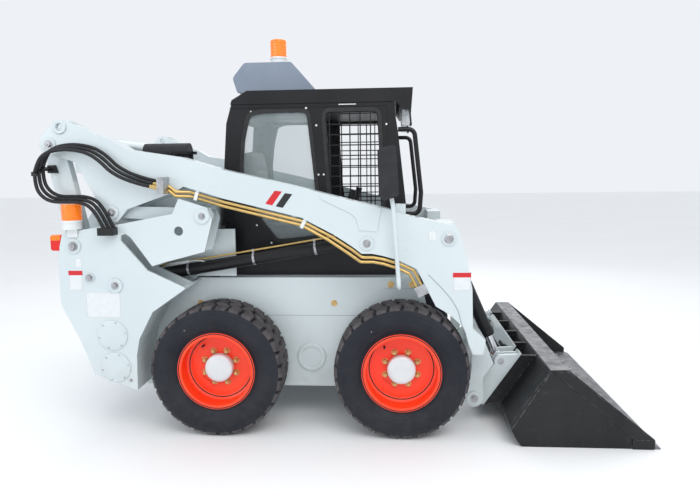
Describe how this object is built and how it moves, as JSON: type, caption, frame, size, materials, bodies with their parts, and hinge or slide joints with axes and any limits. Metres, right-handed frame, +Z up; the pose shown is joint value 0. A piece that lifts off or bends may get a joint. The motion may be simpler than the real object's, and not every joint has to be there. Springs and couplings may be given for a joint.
{
  "type": "skid steer loader",
  "caption": "Compact wheeled loader with a raised-path lift arm, an open-front cab, a rear engine bay and a smooth-edged digging bucket.",
  "frame": {"origin": "on the ground, under the middle of the bounding box", "axes": "+X forward towards the bucket, +Y to the driver's left, +Z up"},
  "size_m": [3.433, 1.816, 2.397],
  "materials": {
    "tyre": "matte",
    "rim": "gloss",
    "frame_black": "satin",
    "body_white": "gloss",
    "cab_black": "satin",
    "glass": "clear",
    "hump_grey": "matte",
    "amber": "gloss",
    "white_plastic": "gloss",
    "red_lamp": "gloss",
    "black_plastic": "matte",
    "rod_chrome": "polished",
    "bucket_black": "satin",
    "worn_steel": "worn",
    "seat_vinyl": "satin",
    "lamp_clear": "gloss",
    "engine_iron": "matte",
    "hose_rubber": "matte",
    "pipe_gold": "satin"
  },
  "bodies": {
    "frame": {"chassis": "body_white", "axle_housings": "frame_black", "upright_right": "body_white", "upright_left": "body_white", "engine": "engine_iron", "engine_deck": "body_white", "rear_guard": "body_white", "door_hinge": "frame_black", "air_cleaner": "black_plastic", "exhaust_stack": "cab_black", "cab_shell": "cab_black", "side_glass": "glass", "rear_glass": "glass", "window_mesh": "cab_black", "roof": "cab_black", "roof_unit": "hump_grey", "beacon_lenses": "amber", "beacon_bases": "white_plastic", "tail_lamps": "red_lamp", "mirror_heads": "black_plastic", "mirror_poles": "cab_black", "grab_handles": "cab_black", "work_lamps": "lamp_clear", "seat_base": "cab_black", "seat_cushions": "seat_vinyl", "consoles": "black_plastic", "control_levers": "black_plastic", "hoses_lower": "hose_rubber", "hose_blocks": "frame_black"},
    "wheel_front_right": {"tyre_front_right": "tyre", "rim_front_right": "rim"},
    "wheel_front_left": {"tyre_front_left": "tyre", "rim_front_left": "rim"},
    "wheel_rear_right": {"tyre_rear_right": "tyre", "rim_rear_right": "rim"},
    "wheel_rear_left": {"tyre_rear_left": "tyre", "rim_rear_left": "rim"},
    "hood": {"hood": "body_white"},
    "tailgate": {"tailgate": "frame_black"},
    "lap_bar": {"lap_bar": "cab_black"},
    "rear_links": {"rear_links": "body_white", "hose_clamps": "frame_black", "hoses_upper": "hose_rubber"},
    "control_links": {"control_links": "body_white"},
    "arms": {"arm_right": "body_white", "arm_left": "body_white", "arm_cross_tube": "body_white", "arm_pipes": "pipe_gold"},
    "lift_barrels": {"lift_barrels": "cab_black"},
    "lift_rods": {"lift_rods": "rod_chrome"},
    "tilt_barrels": {"tilt_barrels": "cab_black"},
    "tilt_rods": {"tilt_rods": "rod_chrome"},
    "bucket": {"quick_attach": "body_white", "lock_levers": "frame_black", "bucket": "bucket_black", "cutting_edge": "worn_steel"}
  },
  "joints": [
    {"name": "wheel_front_right_spin", "type": "hinge", "parent": "frame", "child": "wheel_front_right", "pos_m": [0.3125, -0.698, 0.387], "axis": [0, 1, 0], "continuous": true},
    {"name": "wheel_front_left_spin", "type": "hinge", "parent": "frame", "child": "wheel_front_left", "pos_m": [0.3125, 0.698, 0.387], "axis": [0, 1, 0], "continuous": true},
    {"name": "wheel_rear_right_spin", "type": "hinge", "parent": "frame", "child": "wheel_rear_right", "pos_m": [-0.7525, -0.698, 0.387], "axis": [0, 1, 0], "continuous": true},
    {"name": "wheel_rear_left_spin", "type": "hinge", "parent": "frame", "child": "wheel_rear_left", "pos_m": [-0.7525, 0.698, 0.387], "axis": [0, 1, 0], "continuous": true},
    {"name": "rear_link_pivot", "type": "hinge", "parent": "frame", "child": "rear_links", "pos_m": [-1.539, 0, 1.119], "axis": [0, -1, 0], "range_deg": [-23.9, 0], "deforming": ["hoses_lower"]},
    {"name": "lift", "type": "hinge", "parent": "rear_links", "child": "arms", "pos_m": [-1.655, 0, 1.691], "axis": [0, -1, 0], "range_deg": [0, 83.8], "deforming": ["hoses_upper"]},
    {"name": "control_link_pivot", "type": "hinge", "parent": "frame", "child": "control_links", "pos_m": [-0.789, 0, 1.284], "axis": [0, -1, 0], "range_deg": [-73.9, 0]},
    {"name": "lift_barrel_pivot", "type": "hinge", "parent": "frame", "child": "lift_barrels", "pos_m": [-1.308, 0, 0.893], "axis": [0, -1, 0], "range_deg": [0, 49.1]},
    {"name": "lift_rod_slide", "type": "slide", "parent": "lift_barrels", "child": "lift_rods", "axis": [0.987, 0, 0.1607], "range_m": [0, 0.967]},
    {"name": "tilt", "type": "hinge", "parent": "arms", "child": "bucket", "pos_m": [0.74, 0, 0.186], "axis": [0, -1, 0], "range_deg": [-100, 28]},
    {"name": "tilt_barrel_pivot", "type": "hinge", "parent": "arms", "child": "tilt_barrels", "pos_m": [0.57, 0, 1.15], "axis": [0, -1, 0], "range_deg": [-3.1, 0.9]},
    {"name": "tilt_rod_slide", "type": "slide", "parent": "tilt_barrels", "child": "tilt_rods", "axis": [0.4025, 0, -0.9154], "range_m": [-0.103, 0.364]},
    {"name": "hood_hinge", "type": "hinge", "parent": "frame", "child": "hood", "pos_m": [-1.233, 0, 1.466], "axis": [0, 1, 0], "range_deg": [0, 50]},
    {"name": "tailgate_hinge", "type": "hinge", "parent": "frame", "child": "tailgate", "pos_m": [-1.67, 0.585, 0.99], "axis": [0, 0, -1], "range_deg": [0, 100]},
    {"name": "lap_bar_pivot", "type": "hinge", "parent": "frame", "child": "lap_bar", "pos_m": [-0.64, 0, 1.44], "axis": [0, -1, 0], "range_deg": [0, 60]}
  ],
  "couplings": [
    {"joint": "rear_link_pivot", "follows": "lift", "ratio": -0.284},
    {"joint": "control_link_pivot", "follows": "lift", "ratio": -0.8807},
    {"joint": "lift_barrel_pivot", "follows": "lift", "ratio": 0.5847},
    {"joint": "lift_rod_slide", "follows": "lift", "m_per_rad": 0.6605},
    {"joint": "tilt_barrel_pivot", "follows": "tilt", "ratio": 0.03},
    {"joint": "tilt_rod_slide", "follows": "tilt", "m_per_rad": -0.208}
  ]
}
